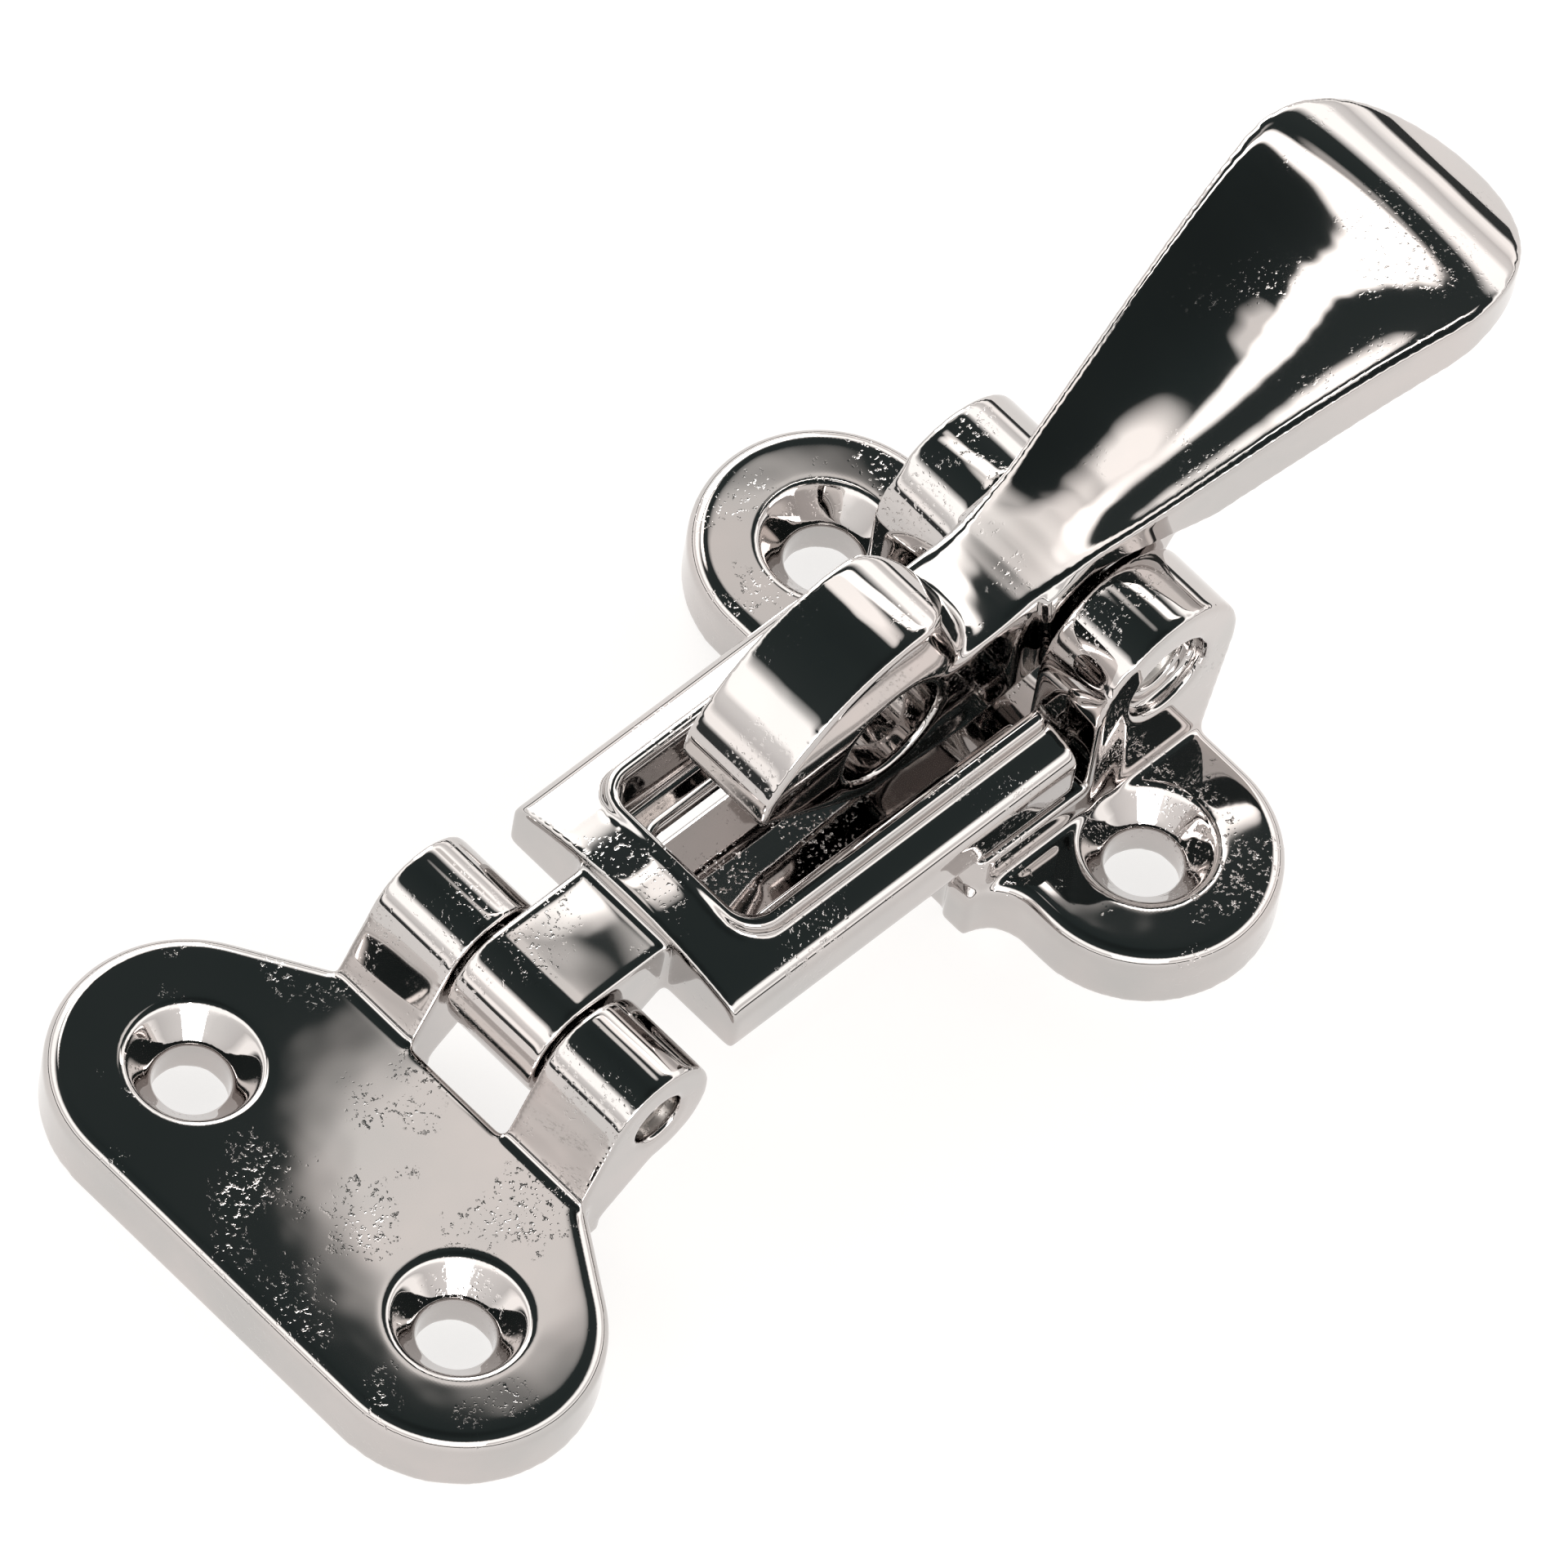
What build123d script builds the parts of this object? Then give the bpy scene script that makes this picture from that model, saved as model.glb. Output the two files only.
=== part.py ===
from build123d import *
from math import acos, atan2, cos, sin, sqrt
import os

# Hold-down hatch fastener with a padlock eye: a hinged, slotted strap lies over a screwed-down
# base and a pivoted lever stands up through its slot.
# Frame: origin on the mounting surface, midway between the base's two ear holes.
# +X runs from the hinge plate to the handle, +Y across, +Z up. Millimetres.

# ---- screws and plates ----
PLATE_T = 4.6            # thickness of both screw plates
SCREW_R = 2.35           # clearance hole for a No. 8 screw
CSK_R = 4.2              # countersink radius at the top face
EDGE_R = 1.0             # rounded top edge of the plates
GAP = 0.3                # clearance between moving pieces
PIN_CHAMFER = 0.25
CUT = 30.0               # height of a cut that leaves the part upwards
OVERRUN = 2.0            # how far a cut or a joined block runs past its end

# ---- hinge plate ----
HINGE_HOLE_X = -53.7
HINGE_HOLE_SPACING = 22.8
HINGE_CORNER_R = 8.9
HINGE_PIN_X = -37.2
HINGE_PIN_Z = 8.0
KNUCKLE_R = 4.0
HINGE_PIN_R = 1.8
HINGE_PIN_INSET = (0.6, 1.2)   # far and near end of the pin inside the lugs' faces
HINGE_WIDTH = 21.2       # across the outer faces of the two lugs
HINGE_NOTCH = 8.0        # between the lugs
NOTCH_X = -43.2
PLATE_END_X = -41.0
PLATE_CORNER_X = -42.6   # where the plate's sloping sides reach the lugs
LUG_FOOT_X = -43.2
LUG_HEEL_Z = 1.2         # underside of a lug where it leaves the plate

# ---- strap ----
STRAP_WIDTH = 19.2
STRAP_X0 = -30.5
STRAP_X1 = -2.4
STRAP_Z0 = 7.5
STRAP_Z1 = 11.4          # top of the strap at its long edges
STRAP_CROWN = 1.6        # rise of the top across the width
STRAP_TOP_R = 1.5        # rounding of the long edges
STRAP_LOW_R = 0.6
ARM_INTO_STRAP = 1.5
ARM_LOW_X = HINGE_PIN_X + 2.5  # where the arm's underside starts to rise to the strap
SLOT_X0 = -26.4
SLOT_WIDTH = 12.0
LEDGE_TOP = 8.7          # ledge inside the slot
LEDGE_X0 = -24.7
LEDGE_SLOT = 7.9         # clear slot between the ledges
RIM_HEIGHT = 0.3         # of the rim above the crown
RIM_WIDTH = 1.1
RIM_BURIED = 1.0         # foot of the rim inside the bar
RIM_R = 0.4
POCKET_R = 1.6           # plan corner of the pocket inside the rim
LEDGE_R = 1.2

# ---- lever base ----
EAR_SPACING = 27.7
EAR_R = 8.3
ROOT_R = 2.4             # concave root between an ear and the body
BASE_X0 = -10.2
BASE_X1 = 8.9
BASE_WIDTH = 19.6
BASE_CORNER_R = 1.0
BASE_WALL_Z = STRAP_Z0 - 0.4
BASE_FLOOR_Z = 3.0
TROUGH_WIDTH = 12.6
TONGUE_X0 = -25.5
TONGUE_WIDTH = 11.0
TONGUE_R = 2.0
LEVER_PIN_X = 4.3
LEVER_PIN_Z = 13.4
LEVER_PIN_R = 2.0
LUG_R = 5.7
LUG_GAP = 8.6            # between the lugs, where the lever's boss turns
SPOTFACE_R = 3.0
SPOTFACE_DEPTH = 1.1
LEVER_PIN_INSET = (0.4, SPOTFACE_DEPTH + 0.3)   # far and near end inside the lugs' faces
LUG_TOP = LEVER_PIN_Z + LUG_R
PIN_CLEARANCE = 0.05

# ---- lever ----
BOSS_R = 4.3
BOSS_WIDTH = LUG_GAP - 2 * GAP
NOSE_WIDTH = 7.0
EYE_X = -12.8
EYE_Z = 17.1
EYE_R = 3.8
HANDLE_END_X = 28.0      # centre of the round end
HANDLE_END_R = 9.2
HANDLE_NECK_X = 3.0
HANDLE_NECK_HALF = 4.0
HANDLE_ROOT = (-5.0, 2.8)      # x and half width where the handle starts on the neck
HANDLE_SPACE = 15.0      # height of the block that the handle is cut from
# side outline of the lever, as (x, z)
NOSE_TIP = (-23.6, 17.6)
NOSE_TOP = [(-23.4, 19.6), (-19.5, 24.0), (-14.5, 26.2), (-10.2, 26.2), (-7.6, 24.0)]
NECK_TOP = (-5.8, 19.9)
NECK_UNDERSIDE = [(5.0, 20.4), (5.0, 12.0), (-6.0, 10.6), (-14.5, 11.6)]
NOSE_ROUND = 2.9         # corner radius of the nose's back end, seen from above
WEB = [(0.0, 14.0), (-1.0, 20.0), (14.0, 22.8), (16.0, 20.2), (10.0, 16.6), (7.0, 10.5)]
HANDLE_TOP = [(6.0, 22.3), (18.0, 26.6), (28.0, 28.6), (37.2, 27.2)]
HANDLE_LOW = [(37.2, 25.6), (28.0, 24.6), (18.0, 21.8), (11.0, LUG_TOP + GAP)]

os.makedirs("parts", exist_ok=True)


def tangent_point(pin_x, pin_z, radius, foot_x, foot_z, side):
    """Where a line from a foot on the plate touches a round knuckle: side 1 or -1 picks the tangent."""
    dx, dz = foot_x - pin_x, foot_z - pin_z
    dist = sqrt(dx * dx + dz * dz)
    along = radius * radius / dist
    off = side * radius * sqrt(dist * dist - radius * radius) / dist
    ux, uz = dx / dist, dz / dist
    return (pin_x + along * ux + off * uz, pin_z + along * uz - off * ux)


# ============ hinge plate: screw plate, two lugs, pin bore ============
half_holes = HINGE_HOLE_SPACING / 2
lug_width = (HINGE_WIDTH - HINGE_NOTCH) / 2
lug_y = (HINGE_WIDTH + HINGE_NOTCH) / 4
lug_tangent = tangent_point(HINGE_PIN_X, HINGE_PIN_Z, KNUCKLE_R, LUG_FOOT_X, PLATE_T, 1)

corner_dx = PLATE_CORNER_X - HINGE_HOLE_X
corner_dy = half_holes - HINGE_WIDTH / 2
corner_dist = sqrt(corner_dx * corner_dx + corner_dy * corner_dy)
side_angle = acos(HINGE_CORNER_R / corner_dist) - atan2(corner_dy, corner_dx)
side_x = HINGE_HOLE_X + HINGE_CORNER_R * cos(side_angle)
side_y = half_holes + HINGE_CORNER_R * sin(side_angle)

with BuildPart() as hinge_plate:
    with BuildSketch():
        with BuildLine():
            left = HINGE_HOLE_X - HINGE_CORNER_R
            outer = [(left, half_holes), (HINGE_HOLE_X, half_holes), (side_x, side_y),
                     (PLATE_CORNER_X, HINGE_WIDTH / 2), (PLATE_END_X, HINGE_WIDTH / 2)]
            Polyline(*outer, *[(x, -y) for x, y in reversed(outer)], close=True)
        make_face()
        with Locations((HINGE_HOLE_X, half_holes), (HINGE_HOLE_X, -half_holes)):
            Circle(HINGE_CORNER_R)
    extrude(amount=PLATE_T)
    fillet(faces().sort_by(Axis.Z)[-1].outer_wire().edges(), EDGE_R)
    for side in (-1, 1):
        with BuildSketch(Plane.XZ.offset(-side * lug_y)):
            with BuildLine():
                bottom = (HINGE_PIN_X, HINGE_PIN_Z - KNUCKLE_R)
                Polyline(lug_tangent, (LUG_FOOT_X, PLATE_T), (LUG_FOOT_X, LUG_HEEL_Z),
                         (PLATE_END_X, LUG_HEEL_Z), bottom)
                ThreePointArc(bottom, (HINGE_PIN_X + KNUCKLE_R, HINGE_PIN_Z), lug_tangent)
            make_face()
        extrude(amount=lug_width / 2, both=True)
    with Locations((NOTCH_X, 0, HINGE_PIN_Z)):
        Box(CUT, HINGE_NOTCH, CUT, align=(Align.MIN, Align.CENTER, Align.CENTER), mode=Mode.SUBTRACT)
    with Locations(Plane.XZ * Location((HINGE_PIN_X, HINGE_PIN_Z, 0))):
        Hole(HINGE_PIN_R)
    with Locations((HINGE_HOLE_X, half_holes, PLATE_T), (HINGE_HOLE_X, -half_holes, PLATE_T)):
        CounterSinkHole(SCREW_R, CSK_R)
hinge_plate.part.label = "hinge_plate"
export_step(hinge_plate.part, "parts/hinge_plate.step")

# ============ hinge pin: pressed into the lugs, the knuckle turns on it ============
with BuildPart() as hinge_pin:
    with BuildSketch(Plane.XZ.offset(-(HINGE_WIDTH / 2 - HINGE_PIN_INSET[0]))):
        with Locations((HINGE_PIN_X, HINGE_PIN_Z)):
            Circle(HINGE_PIN_R - PIN_CLEARANCE)
    extrude(amount=HINGE_WIDTH - sum(HINGE_PIN_INSET))
    chamfer(edges().filter_by(GeomType.CIRCLE), PIN_CHAMFER)
hinge_pin.part.label = "hinge_pin"
export_step(hinge_pin.part, "parts/hinge_pin.step")

# ============ strap: middle knuckle, arm, crowned bar with an open-ended slot ============
strap_len = STRAP_X1 - STRAP_X0
rim_len = STRAP_X1 - SLOT_X0 + RIM_WIDTH - 0.8
rim_top = STRAP_Z1 + STRAP_CROWN + RIM_HEIGHT
knuckle_width = HINGE_NOTCH - 2 * GAP

with BuildPart() as strap:
    with BuildSketch(Plane.YZ.offset(STRAP_X0)):
        half = STRAP_WIDTH / 2
        with BuildLine():
            Polyline((-half, STRAP_Z1), (-half, STRAP_Z0), (half, STRAP_Z0), (half, STRAP_Z1))
            ThreePointArc((half, STRAP_Z1), (0, STRAP_Z1 + STRAP_CROWN), (-half, STRAP_Z1))
        make_face()
    extrude(amount=strap_len)
    fillet(edges().filter_by(Axis.X).group_by(Axis.Z)[-1], STRAP_TOP_R)
    fillet(edges().filter_by(Axis.X).group_by(Axis.Z)[0], STRAP_LOW_R)
    # raised rim round the slot
    with BuildSketch(Plane.XY.offset(STRAP_Z1 - RIM_BURIED)):
        with Locations(((SLOT_X0 - RIM_WIDTH + STRAP_X1) / 2, 0)):
            Rectangle(rim_len, SLOT_WIDTH + 2 * RIM_WIDTH)
        fillet(vertices().group_by(Axis.X)[0], POCKET_R + 0.8)
        fillet(vertices().group_by(Axis.X)[-1], 0.5)
    extrude(amount=rim_top - STRAP_Z1 + RIM_BURIED)
    fillet(faces().sort_by(Axis.Z)[-1].outer_wire().edges(), RIM_R)
    # pocket, then the clear slot between the ledges
    with BuildSketch(Plane.XY.offset(LEDGE_TOP)):
        with Locations((SLOT_X0, 0)):
            Rectangle(STRAP_X1 - SLOT_X0 + OVERRUN, SLOT_WIDTH, align=(Align.MIN, Align.CENTER))
        fillet(vertices().group_by(Axis.X)[0], POCKET_R)
    extrude(amount=CUT, mode=Mode.SUBTRACT)
    with BuildSketch(Plane.XY.offset(STRAP_Z0 - OVERRUN)):
        with Locations((LEDGE_X0, 0)):
            Rectangle(STRAP_X1 - LEDGE_X0 + OVERRUN, LEDGE_SLOT, align=(Align.MIN, Align.CENTER))
        fillet(vertices().group_by(Axis.X)[0], LEDGE_R)
    extrude(amount=CUT, mode=Mode.SUBTRACT)
    # arm and knuckle on the hinge pin
    with BuildSketch(Plane.XZ):
        with BuildLine():
            root_x = STRAP_X0 + ARM_INTO_STRAP
            top_tangent = (HINGE_PIN_X, HINGE_PIN_Z + KNUCKLE_R)
            low_tangent = (HINGE_PIN_X, HINGE_PIN_Z - KNUCKLE_R)
            Polyline(top_tangent, (root_x, HINGE_PIN_Z + KNUCKLE_R), (root_x, STRAP_Z0),
                     (STRAP_X0 + ARM_INTO_STRAP / 2, STRAP_Z0), (ARM_LOW_X, HINGE_PIN_Z - KNUCKLE_R),
                     low_tangent)
            ThreePointArc(low_tangent, (HINGE_PIN_X - KNUCKLE_R, HINGE_PIN_Z), top_tangent)
        make_face()
    extrude(amount=knuckle_width / 2, both=True)
    with Locations(Plane.XZ * Location((HINGE_PIN_X, HINGE_PIN_Z, 0))):
        Hole(HINGE_PIN_R)
strap.part.label = "strap"
export_step(strap.part, "parts/strap.step")

# ============ lever base: two ears, trough under the slot, two tall lugs ============
ear_y = EAR_SPACING / 2
tall_lug_width = (BASE_WIDTH - LUG_GAP) / 2
tall_lug_y = (BASE_WIDTH + LUG_GAP) / 4
foot_z = PLATE_T - 1
lug_foot_x = BASE_X1 - 0.4
lug_front_x = LEVER_PIN_X - LUG_R
lug_back = tangent_point(LEVER_PIN_X, LEVER_PIN_Z, LUG_R, lug_foot_x, foot_z, -1)

with BuildPart() as lever_base:
    with BuildSketch():
        with Locations((0, ear_y), (0, -ear_y)):
            Circle(EAR_R)
        Rectangle(2 * EAR_R, EAR_SPACING)
        # concave roots where the ears leave the body
        for side in (-1, 1):
            with Locations((-EAR_R - ROOT_R / 2, side * (BASE_WIDTH + ROOT_R) / 2)):
                Rectangle(ROOT_R, ROOT_R)
            with Locations((-EAR_R - ROOT_R / 2, side * (BASE_WIDTH / 2 - 1))):
                Rectangle(ROOT_R, 2)
            with Locations((-EAR_R - ROOT_R, side * (BASE_WIDTH / 2 + ROOT_R))):
                Circle(ROOT_R, mode=Mode.SUBTRACT)
    extrude(amount=PLATE_T)
    fillet(faces().sort_by(Axis.Z)[-1].outer_wire().edges(), EDGE_R)
    # central body up to the strap
    with BuildSketch():
        with Locations(((BASE_X0 + BASE_X1) / 2, 0)):
            RectangleRounded(BASE_X1 - BASE_X0, BASE_WIDTH, BASE_CORNER_R)
    extrude(amount=BASE_WALL_Z)
    for side in (-1, 1):
        with BuildSketch(Plane.XZ.offset(-side * tall_lug_y)):
            with Locations((LEVER_PIN_X, LEVER_PIN_Z)):
                Circle(LUG_R)
            with BuildLine():
                Polyline((lug_front_x, foot_z), (lug_front_x, LEVER_PIN_Z), (LEVER_PIN_X, LEVER_PIN_Z),
                         lug_back, (lug_foot_x, foot_z), close=True)
            make_face()
        extrude(amount=tall_lug_width / 2, both=True)
    # trough in front of the lugs and the gap between them
    with BuildSketch(Plane.XY.offset(BASE_FLOOR_Z)):
        with Locations((lug_front_x, 0)):
            Rectangle(lug_front_x - BASE_X0 + OVERRUN, TROUGH_WIDTH, align=(Align.MAX, Align.CENTER))
        with Locations((BASE_X0, 0)):
            Rectangle(BASE_X1 - BASE_X0 + OVERRUN, LUG_GAP, align=(Align.MIN, Align.CENTER))
    extrude(amount=CUT, mode=Mode.SUBTRACT)
    # low tongue under the slot
    with BuildSketch():
        with Locations((TONGUE_X0, 0)):
            Rectangle(BASE_X0 - TONGUE_X0 + OVERRUN, TONGUE_WIDTH, align=(Align.MIN, Align.CENTER))
        fillet(vertices().group_by(Axis.X)[0], TONGUE_R)
    extrude(amount=BASE_FLOOR_Z)
    with Locations(Plane.XZ * Location((LEVER_PIN_X, LEVER_PIN_Z, 0))):
        Hole(LEVER_PIN_R)
    with BuildSketch(Plane.XZ.offset(BASE_WIDTH / 2 - SPOTFACE_DEPTH)):
        with Locations((LEVER_PIN_X, LEVER_PIN_Z)):
            Circle(SPOTFACE_R)
    extrude(amount=SPOTFACE_DEPTH + OVERRUN, mode=Mode.SUBTRACT)
    with Locations((0, ear_y, PLATE_T), (0, -ear_y, PLATE_T)):
        CounterSinkHole(SCREW_R, CSK_R)
lever_base.part.label = "lever_base"
export_step(lever_base.part, "parts/lever_base.step")

# ============ lever pin: seen at the bottom of the near lug's counterbore ============
with BuildPart() as lever_pin:
    with BuildSketch(Plane.XZ.offset(-(BASE_WIDTH / 2 - LEVER_PIN_INSET[0]))):
        with Locations((LEVER_PIN_X, LEVER_PIN_Z)):
            Circle(LEVER_PIN_R - PIN_CLEARANCE)
    extrude(amount=BASE_WIDTH - sum(LEVER_PIN_INSET))
    chamfer(edges().filter_by(GeomType.CIRCLE), PIN_CHAMFER)
lever_pin.part.label = "lever_pin"
export_step(lever_pin.part, "parts/lever_pin.step")

# ============ lever: hooked nose with padlock eye, neck, boss, spoon handle ============
with BuildPart() as lever_head:
    # nose and neck, flat sided
    with BuildSketch(Plane.XZ):
        with BuildLine():
            Spline(*NOSE_TOP)
            Polyline(NOSE_TOP[-1], NECK_TOP, *NECK_UNDERSIDE, NOSE_TIP, NOSE_TOP[0])
        make_face()
    extrude(amount=NOSE_WIDTH / 2, both=True)
    back_face = faces().sort_by_distance(((NOSE_TOP[-1][0] + NECK_TOP[0]) / 2, 0,
                                          (NOSE_TOP[-1][1] + NECK_TOP[1]) / 2))[0]
    fillet(back_face.edges().filter_by(Axis.Y, reverse=True), NOSE_ROUND)
    # boss on the pin, and the web that carries the handle out between the lugs
    with BuildSketch(Plane.XZ):
        with Locations((LEVER_PIN_X, LEVER_PIN_Z)):
            Circle(BOSS_R)
        with BuildLine():
            Polyline(*WEB, close=True)
        make_face()
    extrude(amount=BOSS_WIDTH / 2, both=True)
    with Locations(Plane.XZ * Location((EYE_X, EYE_Z, 0))):
        Hole(EYE_R)

# handle: plan outline times side outline, wholly above the lugs
lean = (HANDLE_END_R - HANDLE_NECK_HALF) / (HANDLE_END_X - HANDLE_NECK_X)
side_end = (HANDLE_END_X - HANDLE_END_R * lean, HANDLE_END_R * sqrt(1 - lean * lean))
with BuildPart() as handle_plan:
    with BuildSketch(Plane.XY.offset(LUG_TOP)):
        with BuildLine():
            far_side = [side_end, (HANDLE_NECK_X, HANDLE_NECK_HALF), HANDLE_ROOT]
            Polyline(*far_side, *[(x, -y) for x, y in reversed(far_side)])
            ThreePointArc(side_end, (HANDLE_END_X + HANDLE_END_R, 0), (side_end[0], -side_end[1]))
        make_face()
    extrude(amount=HANDLE_SPACE)
with BuildPart() as handle:
    with BuildSketch(Plane.XZ):
        with BuildLine():
            Spline(NECK_TOP, *HANDLE_TOP)
            Line(HANDLE_TOP[-1], HANDLE_LOW[0])
            Spline(*HANDLE_LOW)
            Polyline(HANDLE_LOW[-1], (-4.0, LUG_TOP + GAP), NECK_TOP)
        make_face()
    extrude(amount=HANDLE_END_R + OVERRUN, both=True)
    add(handle_plan.part, mode=Mode.INTERSECT)

with BuildPart() as lever:
    add(lever_head.part)
    add(handle.part)
    with Locations(Plane.XZ * Location((LEVER_PIN_X, LEVER_PIN_Z, 0))):
        Hole(LEVER_PIN_R)
lever.part.label = "lever"
export_step(lever.part, "parts/lever.step")
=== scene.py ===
"""Looks of the hold-down hatch fastener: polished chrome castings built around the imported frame."""
import math

import bmesh
import bpy
from mathutils import Matrix, Quaternion, Vector


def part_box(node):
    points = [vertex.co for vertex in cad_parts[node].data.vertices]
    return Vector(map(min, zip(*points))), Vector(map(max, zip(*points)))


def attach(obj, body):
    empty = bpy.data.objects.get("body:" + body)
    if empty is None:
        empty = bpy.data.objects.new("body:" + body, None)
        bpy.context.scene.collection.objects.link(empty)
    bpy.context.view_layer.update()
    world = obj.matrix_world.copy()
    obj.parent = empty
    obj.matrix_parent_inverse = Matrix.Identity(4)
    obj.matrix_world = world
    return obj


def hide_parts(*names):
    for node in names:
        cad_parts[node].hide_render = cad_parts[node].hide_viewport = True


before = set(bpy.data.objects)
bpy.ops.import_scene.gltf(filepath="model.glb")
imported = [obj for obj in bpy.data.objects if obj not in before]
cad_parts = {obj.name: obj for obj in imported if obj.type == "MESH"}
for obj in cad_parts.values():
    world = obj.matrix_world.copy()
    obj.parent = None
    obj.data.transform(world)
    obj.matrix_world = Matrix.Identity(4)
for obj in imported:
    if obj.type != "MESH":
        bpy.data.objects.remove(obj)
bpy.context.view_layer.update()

MM = 0.001

# ---- camera, in degrees and metres ----
AZIMUTH = -52.3
ELEVATION = 57.2
ROLL = 10.5
DISTANCE = 1.84
TARGET = Vector((-15.5, 1.7, 8.0)) * MM
VIEW_WIDTH = 92.5 * MM       # width of the view at the target
SENSOR_WIDTH = 36.0          # millimetres
CLIP_START = 0.01

# ---- studio ----
FLOOR_HALF = 2.0             # half the floor's side
FLOOR_DROP = 0.02 * MM       # the floor lies this far under the fastener
FLOOR_COLOUR = (0.26, 0.255, 0.25, 1)
FLOOR_ROUGHNESS = 0.9
FLOOR_GLOW = (1.0, 0.985, 0.97, 1)
FLOOR_GLOW_STRENGTH = 0.80
# tone of the surroundings by the sine of the height above the horizon
SKY_TONES = (
    (0.00, (0.05, 0.055, 0.055, 1)),
    (0.08, (0.05, 0.055, 0.055, 1)),
    (0.13, (1.70, 1.66, 1.62, 1)),
    (0.20, (1.70, 1.66, 1.62, 1)),
    (0.27, (0.95, 0.93, 0.915, 1)),
    (0.40, (1.20, 1.18, 1.16, 1)),
    (0.46, (2.00, 1.97, 1.93, 1)),
    (0.64, (2.00, 1.97, 1.93, 1)),
    (0.74, (0.040, 0.050, 0.050, 1)),
    (0.93, (0.030, 0.040, 0.040, 1)),
    (1.00, (0.020, 0.026, 0.026, 1)),
)
LAMP_SIZE = (0.5, 0.3)
LAMP_POWER = 3.0             # watts
LAMPS = {"front": (-0.5, -0.55, 0.35), "far": (0.3, 0.6, 0.4)}   # places, in metres
# Glowing cards, each placed where one polished face mirrors it in the main view. In millimetres and degrees:
# point on the face, its normal, distance of the card, its length and width, strength, slant
CARDS = {
    "card_plate": ((-51, -7, 4.6), (0, 0, 1), 150, (22, 30), 1.15, 0),
    "card_spoon": ((20, -1, 25.5), (-0.19, 0.03, 1), 60, (70, 8), 4.0, -16),
    "card_rim": ((14, -5, 25), (-0.22, 0.22, 0.95), 260, (150, 60), 3.0, 0),
    "card_neck": ((-3.5, 1, 20), (-0.2, 0, 0.97), 45, (15, 13), 1.8, 0),
    "card_near_ear": ((-3, -12, 4.6), (0, 0, 1), 150, (24, 12), 0.6, 0),
    "card_far_ear": ((-4, 16, 4.6), (0, 0, 1), 60, (18, 14), 1.0, 0),
}
CARD_GLOW = (1.0, 0.97, 0.94, 1)
CARD_EDGE = 0.45             # share of a card's half size over which its edge fades out

# ---- castings ----
VOXEL = 0.17 * MM
SMOOTH_STEPS = 16
SMOOTH_FACTOR = 0.6
CASTINGS = {"hinge_plate": "base", "strap": "strap", "lever_base": "base", "lever": "lever"}
PINS = ("hinge_pin", "lever_pin")

# ---- chrome: noise scales are in cells per metre ----
PIT_BUMP = {"hinge_plate": 0.30, "strap": 0.35, "lever_base": 0.60, "lever": 0.08}
WAVE_BUMP = {"hinge_plate": 0.035, "strap": 0.06, "lever_base": 0.06, "lever": 0.025}
CHROME_TONES = ((0.50, 0.485, 0.475, 1), (0.57, 0.53, 0.515, 1))
CHROME_TONE_PLACES = (0.3, 0.7)
CLOUD_SCALE = 130.0          # slow change of tone
PIT_SCALE = 3600.0
PIT_RANGE = (0.60, 0.72)
PATCH_SCALE = 190.0          # where the pits gather
PATCH_RANGE = (0.52, 0.72)
PIT_DEPTH = 0.08 * MM
WAVE_SCALE = 210.0
WAVE_DEPTH = 0.5 * MM
CHROME_ROUGHNESS = (0.035, 0.30)   # polished, and in a pit

# ---- steel of the pins ----
STEEL_TONES = ((0.38, 0.37, 0.35, 1), (0.66, 0.65, 0.63, 1))
GRAIN_SCALE = 1500.0
STEEL_ROUGHNESS = (0.2, 0.45)
GRAIN_BUMP = 0.3
GRAIN_DEPTH = 0.05 * MM

# ---- spoon of the handle ----
SPOON_NECK = 3.0 * MM        # where the sides start to widen, and half the width there
SPOON_NECK_HALF = 4.0 * MM
SPOON_END = 28.0 * MM        # centre of the round end, and its radius
SPOON_END_HALF = 9.2 * MM
HANDLE_START = -3.0 * MM     # the shaping fades in from here
HANDLE_FULL = 8.0 * MM       # to here
UNDERSIDE_FROM = 19.0 * MM   # the handle's underside lies above this height
DISH = 0.11                  # depth of the hollow, as a share of half the local width
DISH_EDGE = 0.95             # the hollow ends at this share of half the local width
BELLY = 0.10                 # rise of the underside at its edges, likewise
FACING = (0.3, 0.9)          # how far a face has to look up or down to be shaped
FLAT_FROM = 23.0 * MM        # the hollow fades out towards the tip
FLAT_TO = 32.0 * MM
CURL = 2.2 * MM              # drop of the tip
CURL_START = 28.0 * MM


def smoothstep(low, high, value):
    t = min(1.0, max(0.0, (value - low) / (high - low)))
    return t * t * (3 - 2 * t)


def add_object(name, data):
    piece = bpy.data.objects.new(name, data)
    bpy.context.scene.collection.objects.link(piece)
    return piece


def square_mesh(name, half):
    mesh = bpy.data.meshes.new(name)
    grid = bmesh.new()
    bmesh.ops.create_grid(grid, x_segments=1, y_segments=1, size=half)
    grid.to_mesh(mesh)
    grid.free()
    return mesh


# ============ materials ============
def new_material(name):
    """A material with its node tree and its shader."""
    material = bpy.data.materials.new(name)
    material.use_nodes = True
    return material, material.node_tree, material.node_tree.nodes["Principled BSDF"]


def coordinates(tree, kind):
    return tree.nodes.new("ShaderNodeTexCoord").outputs[kind]


def noise(tree, scale, detail=2.0):
    node = tree.nodes.new("ShaderNodeTexNoise")
    node.inputs["Scale"].default_value = scale
    node.inputs["Detail"].default_value = detail
    tree.links.new(coordinates(tree, "Object"), node.inputs["Vector"])
    return node.outputs["Fac"]


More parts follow.
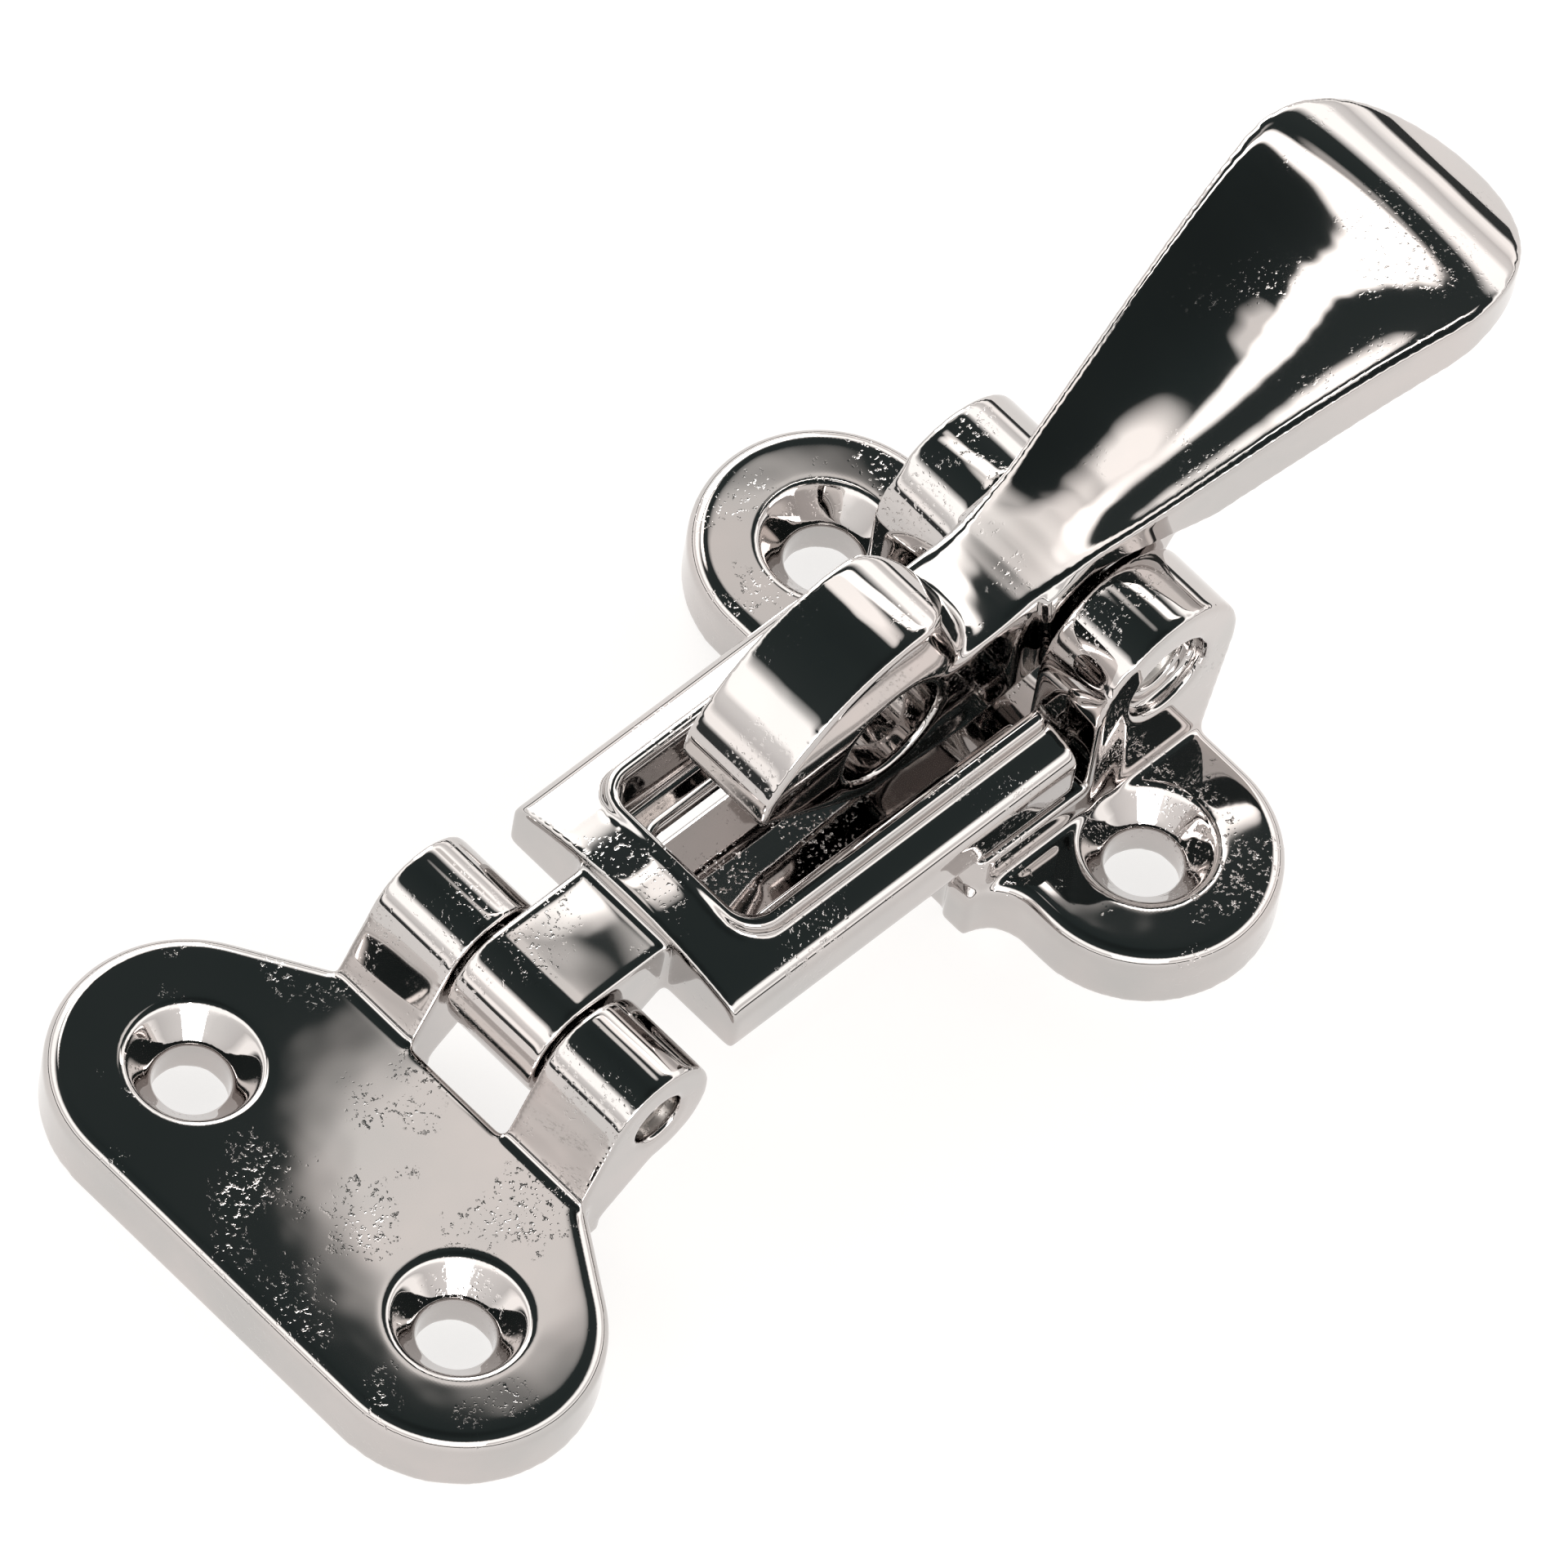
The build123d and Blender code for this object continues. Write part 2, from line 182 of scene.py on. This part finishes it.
def remap(tree, value, before=(0.0, 1.0), after=(0.0, 1.0)):
    """Stretches one range of values to another."""
    node = tree.nodes.new("ShaderNodeMapRange")
    node.inputs["From Min"].default_value, node.inputs["From Max"].default_value = before
    node.inputs["To Min"].default_value, node.inputs["To Max"].default_value = after
    tree.links.new(value, node.inputs["Value"])
    return node.outputs["Result"]


def blend_tones(tree, value, tones, places=(0.0, 1.0)):
    """Turns a value into a colour between two tones."""
    ramp = tree.nodes.new("ShaderNodeValToRGB")
    for stop, tone, place in zip(ramp.color_ramp.elements, tones, places):
        stop.color = tone
        stop.position = place
    tree.links.new(value, ramp.inputs["Fac"])
    return ramp.outputs["Color"]


def bump(tree, height, strength, depth, inward=False):
    node = tree.nodes.new("ShaderNodeBump")
    node.invert = inward
    node.inputs["Strength"].default_value = strength
    node.inputs["Distance"].default_value = depth
    tree.links.new(height, node.inputs["Height"])
    return node


def chrome(part):
    """Polished plate: fine casting pits, slow waviness and a faint warm cloud in the colour."""
    material, tree, shader = new_material("chrome_" + part)
    shader.inputs["Metallic"].default_value = 1.0
    cloud = noise(tree, CLOUD_SCALE, detail=3.0)
    tint = blend_tones(tree, cloud, CHROME_TONES, CHROME_TONE_PLACES)
    tree.links.new(tint, shader.inputs["Base Color"])

    pitted = tree.nodes.new("ShaderNodeMath")
    pitted.operation = "MULTIPLY"
    tree.links.new(remap(tree, noise(tree, PIT_SCALE), PIT_RANGE), pitted.inputs[0])
    tree.links.new(remap(tree, noise(tree, PATCH_SCALE), PATCH_RANGE), pitted.inputs[1])
    rough = remap(tree, pitted.outputs["Value"], after=CHROME_ROUGHNESS)
    tree.links.new(rough, shader.inputs["Roughness"])

    waves = bump(tree, noise(tree, WAVE_SCALE, detail=1.0), WAVE_BUMP[part], WAVE_DEPTH)
    pits = bump(tree, pitted.outputs["Value"], PIT_BUMP[part], PIT_DEPTH, inward=True)
    tree.links.new(waves.outputs["Normal"], pits.inputs["Normal"])
    tree.links.new(pits.outputs["Normal"], shader.inputs["Normal"])
    return material


def turned_steel():
    """Pin ends: duller metal with a fine grain."""
    material, tree, shader = new_material("turned_steel")
    shader.inputs["Metallic"].default_value = 1.0
    grain = noise(tree, GRAIN_SCALE, detail=4.0)
    tree.links.new(blend_tones(tree, grain, STEEL_TONES), shader.inputs["Base Color"])
    tree.links.new(remap(tree, grain, after=STEEL_ROUGHNESS), shader.inputs["Roughness"])
    tree.links.new(bump(tree, grain, GRAIN_BUMP, GRAIN_DEPTH).outputs["Normal"], shader.inputs["Normal"])
    return material


def pale_floor():
    material, _, shader = new_material("pale_floor")
    shader.inputs["Base Color"].default_value = FLOOR_COLOUR
    shader.inputs["Roughness"].default_value = FLOOR_ROUGHNESS
    shader.inputs["Emission Color"].default_value = FLOOR_GLOW
    shader.inputs["Emission Strength"].default_value = FLOOR_GLOW_STRENGTH
    return material


def card_glow(name, strength):
    """Light that is full in the middle of a card and fades to clear at its edges."""
    material, tree, shader = new_material(name)
    tree.nodes.remove(shader)
    doubled = tree.nodes.new("ShaderNodeVectorMath")
    doubled.operation = "SCALE"
    doubled.inputs["Scale"].default_value = 2.0
    tree.links.new(coordinates(tree, "Object"), doubled.inputs[0])
    falloff = tree.nodes.new("ShaderNodeTexGradient")
    falloff.gradient_type = "SPHERICAL"
    tree.links.new(doubled.outputs["Vector"], falloff.inputs["Vector"])
    glow = tree.nodes.new("ShaderNodeEmission")
    glow.inputs["Color"].default_value = CARD_GLOW
    glow.inputs["Strength"].default_value = strength
    clear = tree.nodes.new("ShaderNodeBsdfTransparent")
    mix = tree.nodes.new("ShaderNodeMixShader")
    tree.links.new(remap(tree, falloff.outputs["Fac"], (0.0, CARD_EDGE)), mix.inputs["Fac"])
    tree.links.new(clear.outputs["BSDF"], mix.inputs[1])
    tree.links.new(glow.outputs["Emission"], mix.inputs[2])
    tree.links.new(mix.outputs["Shader"], tree.nodes["Material Output"].inputs["Surface"])
    return material


# ============ castings ============
def apply_modifiers(piece):
    depsgraph = bpy.context.evaluated_depsgraph_get()
    mesh = bpy.data.meshes.new_from_object(piece.evaluated_get(depsgraph))
    piece.modifiers.clear()
    piece.data = mesh


def cast_from(node, sculpt=None):
    """A casting from a CAD node: remeshed evenly, then smoothed so that edges are polished round."""
    piece = add_object("cast_" + node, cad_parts[node].data.copy())
    remesh = piece.modifiers.new("even", "REMESH")
    remesh.mode = "VOXEL"
    remesh.voxel_size = VOXEL
    apply_modifiers(piece)
    if sculpt:
        sculpt(piece.data)
    smooth = piece.modifiers.new("polish", "SMOOTH")
    smooth.factor = SMOOTH_FACTOR
    smooth.iterations = SMOOTH_STEPS
    apply_modifiers(piece)
    piece.data.polygons.foreach_set("use_smooth", [True] * len(piece.data.polygons))
    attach(piece, CASTINGS[node])
    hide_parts(node)
    return piece


def sculpt_lever(mesh):
    """Dishes the top of the spoon, crowns its underside and rolls its tip down."""
    tilts = [v.normal.z for v in mesh.vertices]
    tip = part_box("lever")[1].x
    for v, tilt in zip(mesh.vertices, tilts):
        along = smoothstep(HANDLE_START, HANDLE_FULL, v.co.x)
        if along == 0.0:
            continue
        widening = (v.co.x - SPOON_NECK) / (SPOON_END - SPOON_NECK)
        half = SPOON_NECK_HALF + (SPOON_END_HALF - SPOON_NECK_HALF) * min(1.0, max(0.0, widening))
        past = max(0.0, v.co.x - SPOON_END)
        edge = min(1.0, math.hypot(past, v.co.y) / (DISH_EDGE * half))
        if tilt > 0:
            hollow = along * (1 - smoothstep(FLAT_FROM, FLAT_TO, v.co.x))
            v.co.z -= DISH * half * (1 - edge * edge) * hollow * smoothstep(*FACING, tilt)
        elif v.co.z > UNDERSIDE_FROM:
            v.co.z += BELLY * half * edge * edge * along * smoothstep(*FACING, -tilt)
        v.co.z -= CURL * (max(0.0, v.co.x - CURL_START) / (tip - CURL_START)) ** 2


# ============ stage, light and camera ============
def floor():
    plane = add_object("floor", square_mesh("floor", FLOOR_HALF))
    plane.data.materials.append(pale_floor())
    plane.location.z = -FLOOR_DROP


def camera_axes():
    """The camera's right, up and backward directions."""
    a = math.radians(AZIMUTH)
    e = math.radians(ELEVATION)
    r = math.radians(ROLL)
    back = Vector((math.sin(a) * math.cos(e), -math.cos(a) * math.cos(e), math.sin(e)))
    right = Vector((math.cos(a), math.sin(a), 0))
    up = back.cross(right)
    return right * math.cos(r) + up * math.sin(r), up * math.cos(r) - right * math.sin(r), back


def camera():
    right, up, back = camera_axes()
    data = bpy.data.cameras.new("camera")
    data.lens_unit = "MILLIMETERS"
    data.sensor_width = SENSOR_WIDTH
    data.lens = SENSOR_WIDTH * DISTANCE / VIEW_WIDTH
    data.clip_start = CLIP_START
    cam = add_object("camera", data)
    turn = Matrix((right, up, back)).transposed().to_4x4()
    cam.matrix_world = Matrix.Translation(TARGET + back * DISTANCE) @ turn
    bpy.context.scene.camera = cam


def area_light(name, place):
    """A soft lamp aimed at the origin."""
    data = bpy.data.lights.new(name, "AREA")
    data.shape = "RECTANGLE"
    data.size, data.size_y = LAMP_SIZE
    data.energy = LAMP_POWER
    lamp = add_object(name, data)
    lamp.location = Vector(place)
    lamp.rotation_euler = (-lamp.location).to_track_quat("-Z", "Y").to_euler()
    lamp.visible_camera = False


def reflector(name, point, normal, distance, size, strength, slant):
    """A soft-edged glowing card where a polished face at point, in millimetres, mirrors it to the camera."""
    back = camera_axes()[2]
    normal = Vector(normal).normalized()
    ray = (2 * normal.dot(back) * normal - back).normalized()
    length = Vector((1, 0, 0))
    length = (length - ray * length.dot(ray)).normalized()
    length.rotate(Quaternion(ray, math.radians(slant)))
    place = Matrix.Translation((Vector(point) + ray * distance) * MM)
    turn = Matrix((length, ray.cross(length), ray)).transposed().to_4x4()
    card = add_object(name, square_mesh(name, half=0.5))
    card.matrix_world = place @ turn @ Matrix.Diagonal((size[0] * MM, size[1] * MM, 1, 1))
    card.data.materials.append(card_glow(name, strength))
    card.visible_camera = False
    card.visible_shadow = False
    card.visible_diffuse = False


def studio():
    """Surroundings banded by height, with a dark ceiling, two lamps and the glowing cards."""
    world = bpy.data.worlds.new("studio")
    bpy.context.scene.world = world
    world.use_nodes = True
    tree = world.node_tree
    split = tree.nodes.new("ShaderNodeSeparateXYZ")
    tree.links.new(coordinates(tree, "Generated"), split.inputs["Vector"])
    ramp = tree.nodes.new("ShaderNodeValToRGB")
    stops = ramp.color_ramp.elements
    stops.remove(stops[1])
    stops[0].color = SKY_TONES[0][1]
    for height, tone in SKY_TONES[1:]:
        stops.new(height).color = tone
    tree.links.new(split.outputs["Z"], ramp.inputs["Fac"])
    tree.links.new(ramp.outputs["Color"], tree.nodes["Background"].inputs["Color"])
    tree.nodes["Background"].inputs["Strength"].default_value = 1.0
    for name, place in LAMPS.items():
        area_light(name, place)
    for name, values in CARDS.items():
        reflector(name, *values)


# ============ build ============
for part in CASTINGS:
    casting = cast_from(part, sculpt_lever if part == "lever" else None)
    casting.data.materials.clear()
    casting.data.materials.append(chrome(part))

steel = turned_steel()
for part in PINS:
    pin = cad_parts[part]
    pin.data.materials.clear()
    pin.data.materials.append(steel)

floor()
studio()
camera()
bpy.context.scene.view_settings.view_transform = "Standard"
